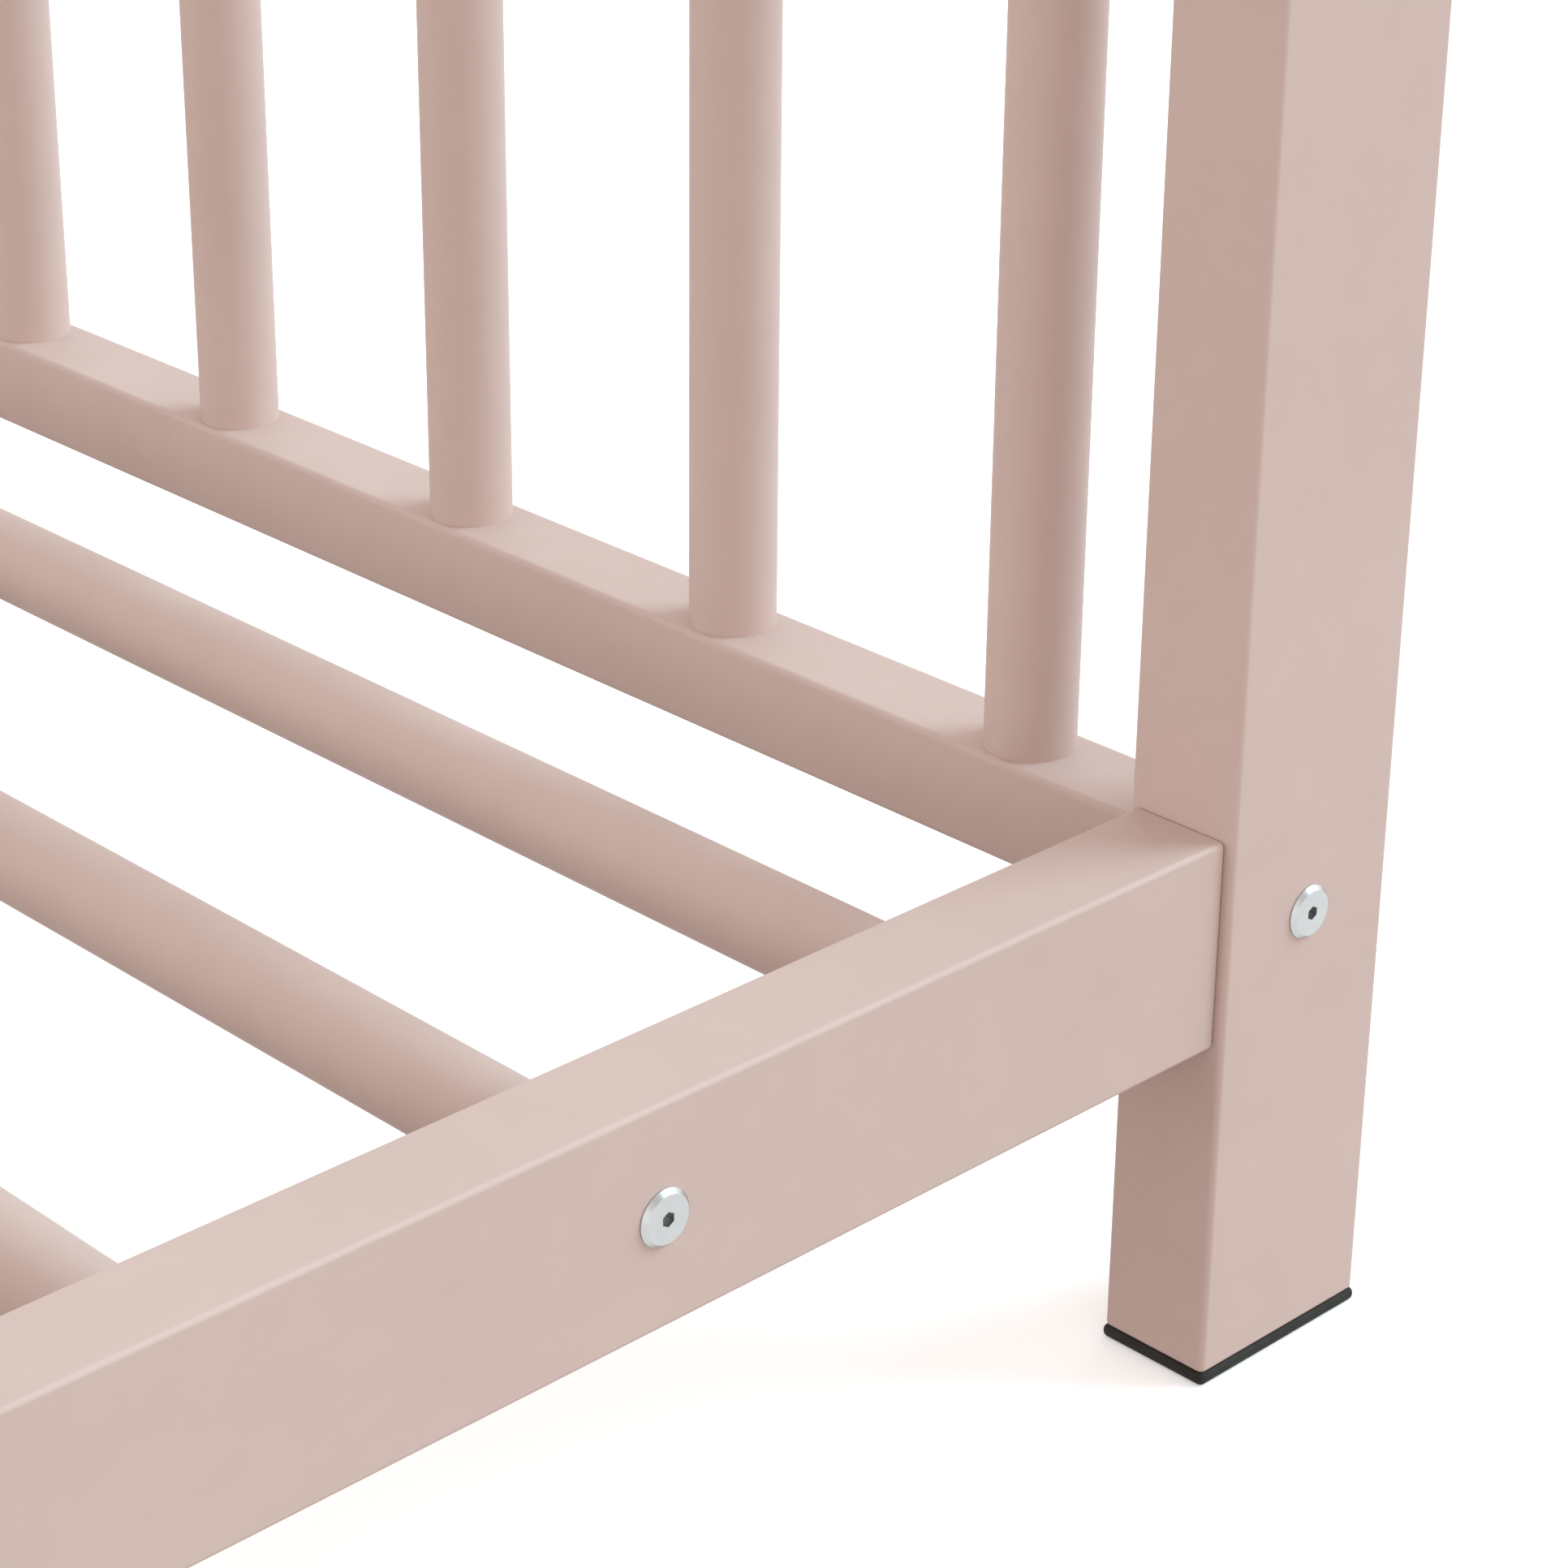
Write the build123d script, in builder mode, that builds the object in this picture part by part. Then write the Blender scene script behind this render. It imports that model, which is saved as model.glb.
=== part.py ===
from build123d import *

import os

# Toddler bed of powder-coated steel tube, for a 700 x 1400 mm mattress.
# Two spindled end panels are joined by two side rails, and thirteen round
# slats lie between the side rails. Millimetres, +Z up. The origin is on the
# floor at the middle of the bed: +X runs along the length to the foot end,
# and the front side rail is on the -Y side.

# ---------------------------------------------------------------- dimensions

# Slats and spindles set the bed's length and width.
tube_diameter = 22.4
tube_wall = 1.0
slat_count = 13
slat_pitch = 103.6
slat_to_post = 64.5  # first slat's axis to the post's inner narrow face
spindle_count = 7
spindle_pitch = 102.5
spindle_to_post = 55.5  # first spindle's axis to the post's inner wide face

# Corner posts, with their wide face along the length.
post_width = 56.0  # along X
post_depth = 30.2  # along Y
post_wall = 1.5
post_radius = 1.6
bed_height = 600.0

# Plastic foot plugs and top caps.
foot_flange = 3.3
foot_overhang = 0.5
foot_nose = 1.5  # rounding of the flange's rim
cap_thickness = 3.0
cap_rounding = 1.4
plug_depth = 18.0
plug_wall = 2.0
plug_clearance = 0.4
rib_clearance = 0.1
rib_height = 1.2
rib_pitch = 5.0
rib_count = 3

# Side rails, set back a little from the posts' outer faces.
rail_height = 51.6
rail_depth = 25.5
rail_wall = 1.5
rail_radius = 1.2
rail_setback = 2.4
rail_clearance = 85.8  # lower face above the post's lower end

# Cross rails of the end panels, square tube.
cross_size = 25.9
cross_wall = 1.5
cross_radius = 1.6
upper_cross_drop = 40.0  # upper cross rail's axis below the bed's top

# Cut tube ends are ground round outside. The posts' and side rails' bores have
# tighter corners than their outsides.
end_rounding = 1.0
bore_radius = 0.4

# M6 furniture bolts with a flat head and a hexagon socket.
bolt_diameter = 5.8
bolt_hole = 6.6
tapped_hole = 6.0
head_diameter = 13.0
head_height = 1.3
head_chamfer = 1.0
tip_chamfer = 0.8
socket_across_flats = 3.0
socket_depth = 2.4
side_bolt_spacing = 30.0  # between the two bolts of a side rail's end
cross_bolt_length = 48.0
side_bolt_length = 66.0
slat_bolt_length = 16.0

# Tapped inserts that the bolts screw into.
insert_clearance = 0.1
end_plate_thickness = 6.0
end_plate_setback = 1.5
cross_plug_length = 20.0
slat_plug_length = 16.0
slat_play = 0.5  # free end play of a slat that isn't bolted
slat_seat_diameter = tube_diameter + 0.4
bolted_slats = (1, 6, 11)  # counted from 0 at the head end

# ------------------------------------------------------------------- derived

inner_length = (slat_count - 1) * slat_pitch + 2 * slat_to_post
inner_width = (spindle_count - 1) * spindle_pitch + 2 * spindle_to_post
bed_length = inner_length + 2 * post_width
bed_width = inner_width + 2 * post_depth
post_x = (bed_length - post_width) / 2
post_y = (bed_width - post_depth) / 2
post_length = bed_height - cap_thickness - foot_flange
rail_z = foot_flange + rail_clearance + rail_height / 2
rail_y = bed_width / 2 - rail_setback - rail_depth / 2
upper_cross_z = bed_height - upper_cross_drop
slat_length = 2 * (rail_y + rail_depth / 2 - rail_wall)
side_bolt_heights = (rail_z - side_bolt_spacing / 2, rail_z + side_bolt_spacing / 2)
cross_heights = {"lower": rail_z, "upper": upper_cross_z}
ends = {"head": -1, "foot": 1}
sides = {"front": -1, "back": 1}
corners = {
    f"{end}_{side}": (end_sign, side_sign)
    for end, end_sign in ends.items()
    for side, side_sign in sides.items()
}
slat_xs = [(i - (slat_count - 1) / 2) * slat_pitch for i in range(slat_count)]
spindle_ys = [
    (i - (spindle_count - 1) / 2) * spindle_pitch for i in range(spindle_count)
]

os.makedirs("parts", exist_ok=True)


def save(piece, name):
    """Names a finished piece and writes it."""
    piece.label = name
    export_step(piece, f"parts/{name}.step")


# --------------------------------------------------------------------- posts

bore_width = post_width - 2 * post_wall
bore_depth = post_depth - 2 * post_wall

for corner, (end_sign, side_sign) in corners.items():
    x = end_sign * post_x
    y = side_sign * post_y
    with BuildPart() as post:
        with BuildSketch(Plane.XY.offset(foot_flange)):
            with Locations((x, y)):
                RectangleRounded(post_width, post_depth, post_radius)
        extrude(amount=post_length)
        cut_ends = post.faces().filter_by(Axis.Z)
        fillet(cut_ends.edges(), end_rounding)
        with BuildSketch(Plane.XY.offset(foot_flange)):
            with Locations((x, y)):
                RectangleRounded(bore_width, bore_depth, bore_radius)
        extrude(amount=post_length, mode=Mode.SUBTRACT)
        # Holes for the cross rail bolts, through both wide walls.
        with BuildSketch(Plane.XZ):
            with Locations(*[(x, z) for z in cross_heights.values()]):
                Circle(bolt_hole / 2)
        extrude(amount=bed_width, both=True, mode=Mode.SUBTRACT)
        # Holes for the side rail bolts, through both narrow walls.
        with BuildSketch(Plane.YZ):
            with Locations(*[(side_sign * rail_y, z) for z in side_bolt_heights]):
                Circle(bolt_hole / 2)
        extrude(amount=bed_length, both=True, mode=Mode.SUBTRACT)
    save(post.part, f"post_{corner}")

# ---------------------------------------------------- foot plugs and top caps


def ribbed_spigot(x, y, base, direction):
    """Adds a hollow spigot with ribs round it, which fills a post's bore."""
    with BuildSketch(Plane.XY.offset(base)) as body:
        with Locations((x, y)):
            Rectangle(bore_width - 2 * plug_clearance, bore_depth - 2 * plug_clearance)
    extrude(body.sketch, amount=direction * plug_depth)
    for i in range(rib_count):
        with BuildSketch(Plane.XY.offset(base + direction * (i + 1) * rib_pitch)) as rib:
            with Locations((x, y)):
                RectangleRounded(
                    bore_width - 2 * rib_clearance,
                    bore_depth - 2 * rib_clearance,
                    bore_radius,
                )
        extrude(rib.sketch, amount=direction * rib_height)
    hollow = plug_clearance + plug_wall
    with BuildSketch(Plane.XY.offset(base)) as cells:
        with Locations((x, y)):
            Rectangle(bore_width - 2 * hollow, bore_depth - 2 * hollow)
            Rectangle(plug_wall, bore_depth, mode=Mode.SUBTRACT)
    extrude(cells.sketch, amount=direction * plug_depth, mode=Mode.SUBTRACT)


for corner, (end_sign, side_sign) in corners.items():
    x = end_sign * post_x
    y = side_sign * post_y
    with BuildPart() as foot_plug:
        with BuildSketch():
            with Locations((x, y)):
                RectangleRounded(
                    post_width + 2 * foot_overhang,
                    post_depth + 2 * foot_overhang,
                    post_radius,
                )
        extrude(amount=foot_flange)
        fillet(foot_plug.faces().filter_by(Axis.Z).edges(), foot_nose)
        ribbed_spigot(x, y, foot_flange, 1)
    save(foot_plug.part, f"foot_plug_{corner}")

    with BuildPart() as top_cap:
        with BuildSketch(Plane.XY.offset(bed_height - cap_thickness)):
            with Locations((x, y)):
                RectangleRounded(post_width, post_depth, post_radius)
        extrude(amount=cap_thickness)
        fillet(top_cap.faces().sort_by(Axis.Z)[-1].edges(), cap_rounding)
        ribbed_spigot(x, y, bed_height - cap_thickness, -1)
    save(top_cap.part, f"top_cap_{corner}")

# ---------------------------------------------------------------- side rails

for side, side_sign in sides.items():
    y = side_sign * rail_y
    inner_face = y - side_sign * rail_depth / 2
    outer_face = y + side_sign * rail_depth / 2
    with BuildPart() as side_rail:
        with BuildSketch(Plane.YZ.offset(-inner_length / 2)):
            with Locations((y, rail_z)):
                RectangleRounded(rail_depth, rail_height, rail_radius)
        extrude(amount=inner_length)
        fillet(side_rail.faces().filter_by(Axis.X).edges(), end_rounding)
        with BuildSketch(Plane.YZ.offset(-inner_length / 2)):
            with Locations((y, rail_z)):
                RectangleRounded(
                    rail_depth - 2 * rail_wall,
                    rail_height - 2 * rail_wall,
                    bore_radius,
                )
        extrude(amount=inner_length, mode=Mode.SUBTRACT)
        # Round seats for the slats, in the inner wall only.
        with BuildSketch(Plane.XZ.offset(-inner_face)):
            with Locations(*[(x, rail_z) for x in slat_xs]):
                Circle(slat_seat_diameter / 2)
        extrude(amount=-side_sign * rail_wall, mode=Mode.SUBTRACT)
        # Bolt holes in the outer wall, in line with the bolted slats.
        with BuildSketch(Plane.XZ.offset(-outer_face)):
            with Locations(*[(slat_xs[i], rail_z) for i in bolted_slats]):
                Circle(bolt_hole / 2)
        extrude(amount=side_sign * rail_wall, mode=Mode.SUBTRACT)
    save(side_rail.part, f"side_rail_{side}")

with BuildPart() as end_plates:
    for end_sign in ends.values():
        plate_face = inner_length / 2 - end_plate_setback
        with BuildSketch(Plane.YZ.offset(end_sign * plate_face)):
            for side_sign in sides.values():
                with Locations((side_sign * rail_y, rail_z)):
                    RectangleRounded(
                        rail_depth - 2 * rail_wall - 2 * insert_clearance,
                        rail_height - 2 * rail_wall - 2 * insert_clearance,
                        bore_radius,
                    )
                    with GridLocations(0, side_bolt_spacing, 1, 2):
                        Circle(tapped_hole / 2, mode=Mode.SUBTRACT)
        extrude(amount=-end_sign * end_plate_thickness)
save(end_plates.part, "side_rail_end_plates")

# ----------------------------------------------------------------- end panels

cross_bore = cross_size - 2 * cross_wall

for end, end_sign in ends.items():
    x = end_sign * post_x
    for level, z in cross_heights.items():
        with BuildPart() as cross_rail:
            with BuildSketch(Plane.XZ.offset(-inner_width / 2)):
                with Locations((x, z)):
                    RectangleRounded(cross_size, cross_size, cross_radius)
            extrude(amount=inner_width)
            fillet(cross_rail.faces().filter_by(Axis.Y).edges(), end_rounding)
            with BuildSketch(Plane.XZ.offset(-inner_width / 2)):
                with Locations((x, z)):
                    Rectangle(cross_bore, cross_bore)
            extrude(amount=inner_width, mode=Mode.SUBTRACT)
        save(cross_rail.part, f"{level}_cross_rail_{end}")

    spindle_base = rail_z + cross_size / 2
    spindle_length = upper_cross_z - rail_z - cross_size
    for i, y in enumerate(spindle_ys):
        with BuildPart() as spindle:
            with BuildSketch(Plane.XY.offset(spindle_base)):
                with Locations((x, y)):
                    Circle(tube_diameter / 2)
                    Circle(tube_diameter / 2 - tube_wall, mode=Mode.SUBTRACT)
            extrude(amount=spindle_length)
        save(spindle.part, f"spindle_{end}_{i + 1}")

with BuildPart() as cross_plugs:
    for side_sign in sides.values():
        with BuildSketch(Plane.XZ.offset(-side_sign * inner_width / 2)):
            for end_sign in ends.values():
                with Locations(*[(end_sign * post_x, z) for z in cross_heights.values()]):
                    Rectangle(
                        cross_bore - 2 * insert_clearance,
                        cross_bore - 2 * insert_clearance,
                    )
                    Circle(tapped_hole / 2, mode=Mode.SUBTRACT)
        extrude(amount=side_sign * cross_plug_length)
save(cross_plugs.part, "cross_rail_end_plugs")

# --------------------------------------------------------------------- slats

for i, x in enumerate(slat_xs):
    length = slat_length if i in bolted_slats else slat_length - 2 * slat_play
    with BuildPart() as slat:
        with BuildSketch(Plane.XZ.offset(-length / 2)):
            with Locations((x, rail_z)):
                Circle(tube_diameter / 2)
                Circle(tube_diameter / 2 - tube_wall, mode=Mode.SUBTRACT)
        extrude(amount=length)
    save(slat.part, f"slat_{i + 1:02d}")

with BuildPart() as slat_plugs:
    for side_sign in sides.values():
        with BuildSketch(Plane.XZ.offset(-side_sign * slat_length / 2)):
            with Locations(*[(slat_xs[i], rail_z) for i in bolted_slats]):
                Circle(tube_diameter / 2 - tube_wall - insert_clearance)
                Circle(tapped_hole / 2, mode=Mode.SUBTRACT)
        extrude(amount=side_sign * slat_plug_length)
save(slat_plugs.part, "slat_end_plugs")

# --------------------------------------------------------------------- bolts


def add_bolt(origin, direction, length):
    """Adds a bolt whose head stands on a face at the origin, its shank running inwards."""
    seat = Plane(origin=origin, z_dir=direction)
    half = Plane(origin=origin, x_dir=seat.x_dir, z_dir=-seat.y_dir)
    shank_radius = bolt_diameter / 2
    head_radius = head_diameter / 2
    with BuildSketch(half) as profile:
        with BuildLine():
            Polyline(
                (0, -length),
                (shank_radius - tip_chamfer, -length),
                (shank_radius, tip_chamfer - length),
                (shank_radius, 0),
                (head_radius, 0),
                (head_radius, head_height - head_chamfer),
                (head_radius - head_chamfer, head_height),
                (0, head_height),
                close=True,
            )
        make_face()
    revolve(profile.sketch, axis=Axis(origin, direction))
    with BuildSketch(seat.offset(head_height)) as socket:
        RegularPolygon(socket_across_flats / 2, 6, major_radius=False)
    extrude(socket.sketch, amount=-socket_depth, mode=Mode.SUBTRACT)


with BuildPart() as cross_bolts:
    for end_sign, side_sign in corners.values():
        for z in cross_heights.values():
            seat = (end_sign * post_x, side_sign * bed_width / 2, z)
            add_bolt(seat, (0, side_sign, 0), cross_bolt_length)
save(cross_bolts.part, "cross_rail_bolts")

with BuildPart() as side_bolts:
    for end_sign, side_sign in corners.values():
        for z in side_bolt_heights:
            seat = (end_sign * bed_length / 2, side_sign * rail_y, z)
            add_bolt(seat, (end_sign, 0, 0), side_bolt_length)
save(side_bolts.part, "side_rail_bolts")

with BuildPart() as slat_bolts:
    for side_sign in sides.values():
        for i in bolted_slats:
            seat = (slat_xs[i], side_sign * (rail_y + rail_depth / 2), rail_z)
            add_bolt(seat, (0, side_sign, 0), slat_bolt_length)
save(slat_bolts.part, "slat_bolts")
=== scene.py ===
import math

import bpy
from mathutils import Matrix, Vector


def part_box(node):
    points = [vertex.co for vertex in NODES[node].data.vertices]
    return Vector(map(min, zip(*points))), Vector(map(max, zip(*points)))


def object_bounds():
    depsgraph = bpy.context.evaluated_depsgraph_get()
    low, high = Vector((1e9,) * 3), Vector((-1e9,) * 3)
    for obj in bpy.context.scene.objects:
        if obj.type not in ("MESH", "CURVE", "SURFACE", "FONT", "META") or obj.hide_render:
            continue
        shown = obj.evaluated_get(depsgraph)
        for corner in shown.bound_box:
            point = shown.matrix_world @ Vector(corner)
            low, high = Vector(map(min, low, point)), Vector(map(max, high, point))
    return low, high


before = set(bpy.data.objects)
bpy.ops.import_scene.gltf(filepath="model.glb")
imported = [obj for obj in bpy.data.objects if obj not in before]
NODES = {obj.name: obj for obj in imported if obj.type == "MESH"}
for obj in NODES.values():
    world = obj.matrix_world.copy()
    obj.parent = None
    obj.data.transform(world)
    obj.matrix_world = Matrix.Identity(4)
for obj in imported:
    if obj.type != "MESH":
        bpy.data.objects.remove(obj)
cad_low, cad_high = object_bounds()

# Toddler bed of pink powder-coated steel tube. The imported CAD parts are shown
# as they are, so this script holds their finishes, the floor, the light and
# the camera. Metres, in the frame of the CAD model.

MM = 0.001
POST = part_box("post_foot_front")
BED_MIDDLE = (cad_low + cad_high) / 2

# Each finish wanders between a darker and a lighter colour.
COAT_COLORS = ((0.560, 0.425, 0.378), (0.590, 0.450, 0.402))
CAP_COLORS = ((0.565, 0.420, 0.370), (0.600, 0.448, 0.398))
FOOT_COLORS = ((0.024, 0.022, 0.019), (0.034, 0.032, 0.028))
ZINC_COLORS = ((0.455, 0.455, 0.455), (0.480, 0.480, 0.480))
STEEL_COLORS = ((0.30, 0.30, 0.31), (0.46, 0.46, 0.47))
FLOOR_COLORS = ((0.93, 0.90, 0.89), (0.95, 0.92, 0.91))

# The bolts of each node stand in even rows, counted here along the axes across them.
BOLT_HEAD_RADIUS = 6.5 * MM
TURNED_RING_PITCH = 0.12 * MM
BOLT_ROWS = {
    "cross_rail_bolts": {"X": 2, "Z": 2},
    "side_rail_bolts": {"Y": 2, "Z": 2},
    "slat_bolts": {"X": 3, "Z": 1},
}

# Headings are degrees from +Y towards +X. The key's elevation is above the horizon, and the
# camera's is how far it looks down. The camera's place counts from the low corner of the
# box round the post at the front of the foot end.
FLOOR_SIZE = 60.0
FLOOR_GLOW = 0.32
FLOOR_GLOW_COLOR = (0.92, 1.0, 1.0)
ROOM_STRENGTH = 1.89
WALL_COLOR = (1.0, 0.980, 0.991)
CEILING_COLOR = (0.283, 0.253, 0.231)
GROUND_COLOR = (0.216, 0.179, 0.163)
KEY_COLOR = (0.594, 0.872, 1.0)
KEY_STRENGTH = 2.18
KEY_SPREAD = 32.0
KEY_HEADING = 122.0
KEY_ELEVATION = 38.0
KEY_DISTANCE = 3.0
CAMERA_FROM_POST = Vector((-0.64246, -0.51082, 0.53600))
CAMERA_HEADING = 43.393
CAMERA_ELEVATION = 24.932
CAMERA_ROLL = 0.126
CAMERA_LENS = 94.836
CAMERA_SHIFT = (0.05026, -0.01632)


# ------------------------------------------------------------ material helpers


class Shader:
    """A material with one Principled shader, and short ways to add nodes to it."""

    def __init__(self, name):
        self.material = bpy.data.materials.new(name)
        self.material.use_nodes = True
        self.tree = self.material.node_tree
        self.tree.nodes.clear()
        output = self.node("ShaderNodeOutputMaterial")
        self.principled = self.node("ShaderNodeBsdfPrincipled")
        self.link(self.principled.outputs["BSDF"], output.inputs["Surface"])
        self.place = self.node("ShaderNodeTexCoord").outputs["Object"]

    def node(self, kind, **settings):
        made = self.tree.nodes.new(kind)
        for key, value in settings.items():
            setattr(made, key, value)
        return made

    def link(self, source, target):
        self.tree.links.new(source, target)

    def feed(self, target, value):
        """Links an output to a socket, or sets the socket to a plain value."""
        if isinstance(value, bpy.types.NodeSocket):
            self.link(value, target)
        else:
            target.default_value = value

    def constants(self, **values):
        """Sets the shader's own sockets, such as roughness or metallic."""
        for key, value in values.items():
            self.principled.inputs[key.replace("_", " ")].default_value = value

    def noise(self, size, detail=2.0, roughness=0.5, place=None):
        """Noise whose cells are about size metres across, from 0 to 1."""
        made = self.node("ShaderNodeTexNoise")
        made.inputs["Scale"].default_value = 1.0 / size
        made.inputs["Detail"].default_value = detail
        made.inputs["Roughness"].default_value = roughness
        self.link(place or self.place, made.inputs["Vector"])
        return made.outputs["Fac"]

    def math(self, operation, first, second=0.0, third=0.0):
        made = self.node("ShaderNodeMath", operation=operation)
        for socket, value in zip(made.inputs, (first, second, third)):
            self.feed(socket, value)
        return made.outputs["Value"]

    def spread(self, source, low, high):
        """Maps the middle of a 0 to 1 noise onto low to high."""
        made = self.node("ShaderNodeMapRange")
        self.link(source, made.inputs["Value"])
        made.inputs["From Min"].default_value = 0.3
        made.inputs["From Max"].default_value = 0.7
        made.inputs["To Min"].default_value = low
        made.inputs["To Max"].default_value = high
        return made.outputs["Result"]

    def tint(self, source, low, high):
        """Blends between two colours by a 0 to 1 value."""
        made = self.node("ShaderNodeMix", data_type="RGBA")
        self.link(source, made.inputs["Factor"])
        made.inputs["A"].default_value = (*low, 1.0)
        made.inputs["B"].default_value = (*high, 1.0)
        return made.outputs["Result"]

    def bump(self, height, distance, strength=1.0, under=None):
        """Turns a height of 0 to 1 into relief of that distance in metres."""
        made = self.node("ShaderNodeBump")
        made.inputs["Strength"].default_value = strength
        made.inputs["Distance"].default_value = distance
        self.link(height, made.inputs["Height"])
        if under is not None:
            self.link(under, made.inputs["Normal"])
        return made.outputs["Normal"]

    def finish(self, color=None, roughness=None, normal=None):
        for key, value in (("Base Color", color), ("Roughness", roughness), ("Normal", normal)):
            if value is not None:
                self.feed(self.principled.inputs[key], value)
        return self.material


# ------------------------------------------------------------------- finishes


def powder_coat():
    """Satin powder coat: faint clouding, a fine orange peel and a dry micro texture."""
    s = Shader("pink_powder_coat")
    clouds = s.math("MULTIPLY_ADD", s.noise(0.09), 0.6, s.math("MULTIPLY", s.noise(0.012), 0.4))
    color = s.tint(s.spread(clouds, 0.0, 1.0), *COAT_COLORS)
    roughness = s.spread(s.noise(0.025, detail=3.0), 0.54, 0.64)
    peel = s.bump(s.noise(0.0022, detail=1.0), 0.02 * MM)
    grain = s.bump(s.noise(0.0004, detail=2.0), 0.006 * MM, under=peel)
    s.constants(IOR=1.5, Specular_IOR_Level=0.35)
    return s.finish(color, roughness, grain)


def moulded_plastic(name, colors, roughness):
    """Moulded polyethylene with a fine spark-eroded grain and slight flow clouding."""
    s = Shader(name)
    color = s.tint(s.spread(s.noise(0.008, detail=3.0), 0.0, 1.0), *colors)
    worn = s.spread(s.noise(0.003, detail=4.0), roughness - 0.06, roughness + 0.06)
    grain = s.bump(s.noise(0.00035, detail=2.0, roughness=0.7), 0.012 * MM)
    flow = s.bump(s.noise(0.006, detail=1.0), 0.03 * MM, under=grain)
    s.constants(IOR=1.5, Specular_IOR_Level=0.15)
    return s.finish(color, worn, flow)


def turned_zinc(name, radius):
    """Bright zinc over a turned face. radius is the distance from the bolt's own axis."""
    s = Shader(name)
    off_axis = radius(s)
    rings = s.math("FRACT", s.math("MULTIPLY", off_axis, 1.0 / TURNED_RING_PITCH))
    wobble = s.noise(0.0009, detail=3.0)
    height = s.math("MULTIPLY_ADD", rings, 0.5, s.math("MULTIPLY", wobble, 0.5))
    color = s.tint(s.spread(s.noise(0.004, detail=3.0), 0.0, 1.0), *ZINC_COLORS)
    roughness = s.spread(wobble, 0.28, 0.34)
    s.constants(Metallic=1.0)
    return s.finish(color, roughness, s.bump(height, 0.001 * MM))


def rolled_steel():
    """Plain rolled steel of the tapped inserts, with drawn streaks and a dull scale."""
    s = Shader("rolled_steel")
    stretch = s.node("ShaderNodeMapping")
    stretch.inputs["Scale"].default_value = (0.08, 1.0, 1.0)
    s.link(s.place, stretch.inputs["Vector"])
    streaks = s.noise(0.0015, detail=4.0, place=stretch.outputs["Vector"])
    color = s.tint(s.spread(streaks, 0.0, 1.0), *STEEL_COLORS)
    s.constants(Metallic=1.0)
    return s.finish(color, s.spread(streaks, 0.35, 0.55), s.bump(streaks, 0.01 * MM))


def distance_from_axis(node, rows):
    """Distance from the nearest bolt axis, for bolts that stand in even rows.

    rows gives, for each axis across the bolts, how many rows the node has that way.
    """
    low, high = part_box(node)

    def nearest(s, coordinate, lowest, highest, count):
        offset = s.math("SUBTRACT", coordinate, (lowest + highest) / 2)
        reach = (highest - lowest) / 2 - BOLT_HEAD_RADIUS
        for _ in range(count - 1):
            offset = s.math("SUBTRACT", s.math("ABSOLUTE", offset), reach / (count - 1))
        return offset

    def distance(s):
        split = s.node("ShaderNodeSeparateXYZ")
        s.link(s.place, split.inputs["Vector"])
        squares = []
        for axis, count in rows.items():
            index = "XYZ".index(axis)
            offset = nearest(s, split.outputs[axis], low[index], high[index], count)
            squares.append(s.math("MULTIPLY", offset, offset))
        return s.math("SQRT", s.math("ADD", *squares))

    return distance


def finish_nodes():
    """Gives every CAD node the material that its slot in the record stands for."""
    by_slot = {
        "pink_coat": powder_coat(),
        "black_plastic": moulded_plastic("black_foot_plastic", FOOT_COLORS, 0.65),
        "pink_plastic": moulded_plastic("pink_cap_plastic", CAP_COLORS, 0.5),
        "bare_steel": rolled_steel(),
    }
    by_node = {
        node: turned_zinc("zinc_" + node, distance_from_axis(node, rows))
        for node, rows in BOLT_ROWS.items()
    }
    for name, piece in NODES.items():
        for slot in piece.material_slots:
            slot_name = slot.material.name.split(".")[0]
            slot.material = by_node.get(name) or by_slot[slot_name]


# -------------------------------------------------------------- floor and light


def make_floor():
    """A plain pale floor, level with the soles of the feet.

    It takes shadows, glows a little and is seen in reflections. The light that reaches the
    bed from below comes from the room's ground instead.
    """
    half = FLOOR_SIZE / 2
    corners = [(-half, -half, 0), (half, -half, 0), (half, half, 0), (-half, half, 0)]
    mesh = bpy.data.meshes.new("floor")
    mesh.from_pydata(corners, [], [(0, 1, 2, 3)])
    floor = bpy.data.objects.new("floor", mesh)
    floor.visible_diffuse = False
    floor.visible_shadow = False
    bpy.context.scene.collection.objects.link(floor)
    s = Shader("floor_paint")
    color = s.tint(s.spread(s.noise(0.4), 0.0, 1.0), *FLOOR_COLORS)
    s.constants(
        Specular_IOR_Level=0.0,
        Emission_Color=(*FLOOR_GLOW_COLOR, 1.0),
        Emission_Strength=FLOOR_GLOW,
    )
    mesh.materials.append(s.finish(color, 0.9))


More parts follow.
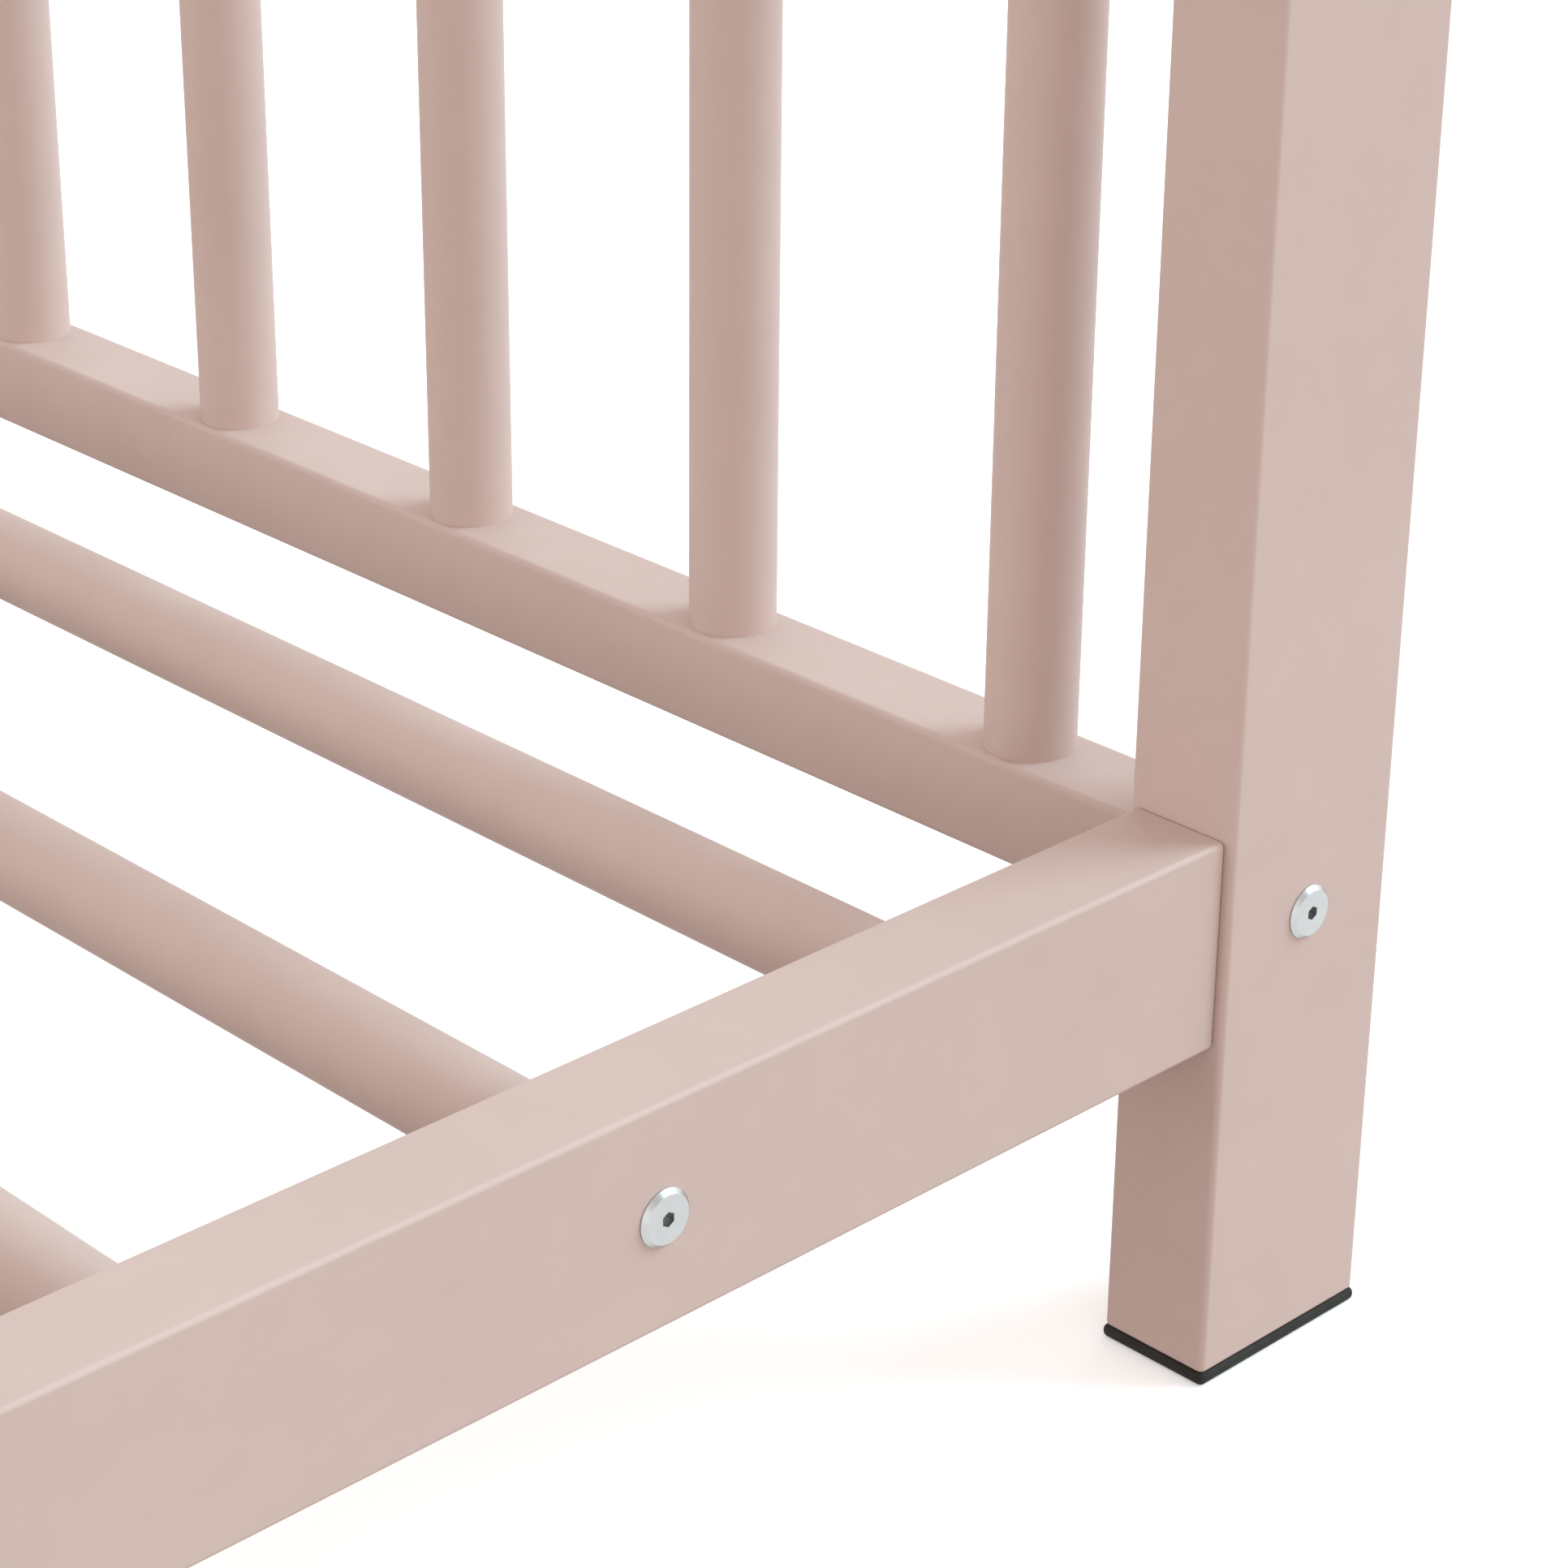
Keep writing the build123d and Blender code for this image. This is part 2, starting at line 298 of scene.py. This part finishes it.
def make_light():
    """A room with white walls and a dimmer ceiling, and one soft key lamp beyond the foot end."""
    world = bpy.data.worlds.new("studio")
    world.use_nodes = True
    nodes, links = world.node_tree.nodes, world.node_tree.links
    split = nodes.new("ShaderNodeSeparateXYZ")
    links.new(nodes.new("ShaderNodeTexCoord").outputs["Generated"], split.inputs["Vector"])
    height = nodes.new("ShaderNodeMapRange")
    height.inputs["From Min"].default_value = -1.0
    links.new(split.outputs["Z"], height.inputs["Value"])
    ramp = nodes.new("ShaderNodeValToRGB")
    links.new(height.outputs["Result"], ramp.inputs["Fac"])
    # The ramp runs from straight down at 0 to straight up at 1, with the horizon at 0.5.
    stops = ramp.color_ramp.elements
    stops[0].position, stops[0].color = 0.49, (*GROUND_COLOR, 1.0)
    stops[1].position, stops[1].color = 1.0, (*CEILING_COLOR, 1.0)
    stops.new(0.5).color = (*WALL_COLOR, 1.0)
    background = nodes["Background"]
    links.new(ramp.outputs["Color"], background.inputs["Color"])
    background.inputs["Strength"].default_value = ROOM_STRENGTH
    bpy.context.scene.world = world

    key = bpy.data.lights.new("key", "SUN")
    key.energy = KEY_STRENGTH
    key.color = KEY_COLOR
    key.angle = math.radians(KEY_SPREAD)
    lamp = bpy.data.objects.new("key", key)
    level = math.cos(math.radians(KEY_ELEVATION))
    toward = Vector((
        level * math.sin(math.radians(KEY_HEADING)),
        level * math.cos(math.radians(KEY_HEADING)),
        math.sin(math.radians(KEY_ELEVATION)),
    ))
    lamp.location = BED_MIDDLE + KEY_DISTANCE * toward
    lamp.rotation_euler = toward.to_track_quat("Z", "Y").to_euler()
    bpy.context.scene.collection.objects.link(lamp)
    bpy.context.scene.view_settings.view_transform = "Standard"


def make_camera():
    """A camera in front of the bed and above it, turned to the front corner of the foot end."""
    data = bpy.data.cameras.new("camera")
    data.sensor_width = 36.0
    data.lens = CAMERA_LENS
    data.shift_x, data.shift_y = CAMERA_SHIFT
    data.clip_start = 0.01
    camera = bpy.data.objects.new("camera", data)
    turn = Matrix.Rotation(math.radians(-CAMERA_HEADING), 4, "Z")
    tilt = Matrix.Rotation(math.radians(90.0 - CAMERA_ELEVATION), 4, "X")
    roll = Matrix.Rotation(math.radians(CAMERA_ROLL), 4, "Z")
    corner, _ = POST
    camera.matrix_world = Matrix.Translation(corner + CAMERA_FROM_POST) @ turn @ tilt @ roll
    bpy.context.scene.collection.objects.link(camera)
    bpy.context.scene.camera = camera


finish_nodes()
make_floor()
make_light()
make_camera()
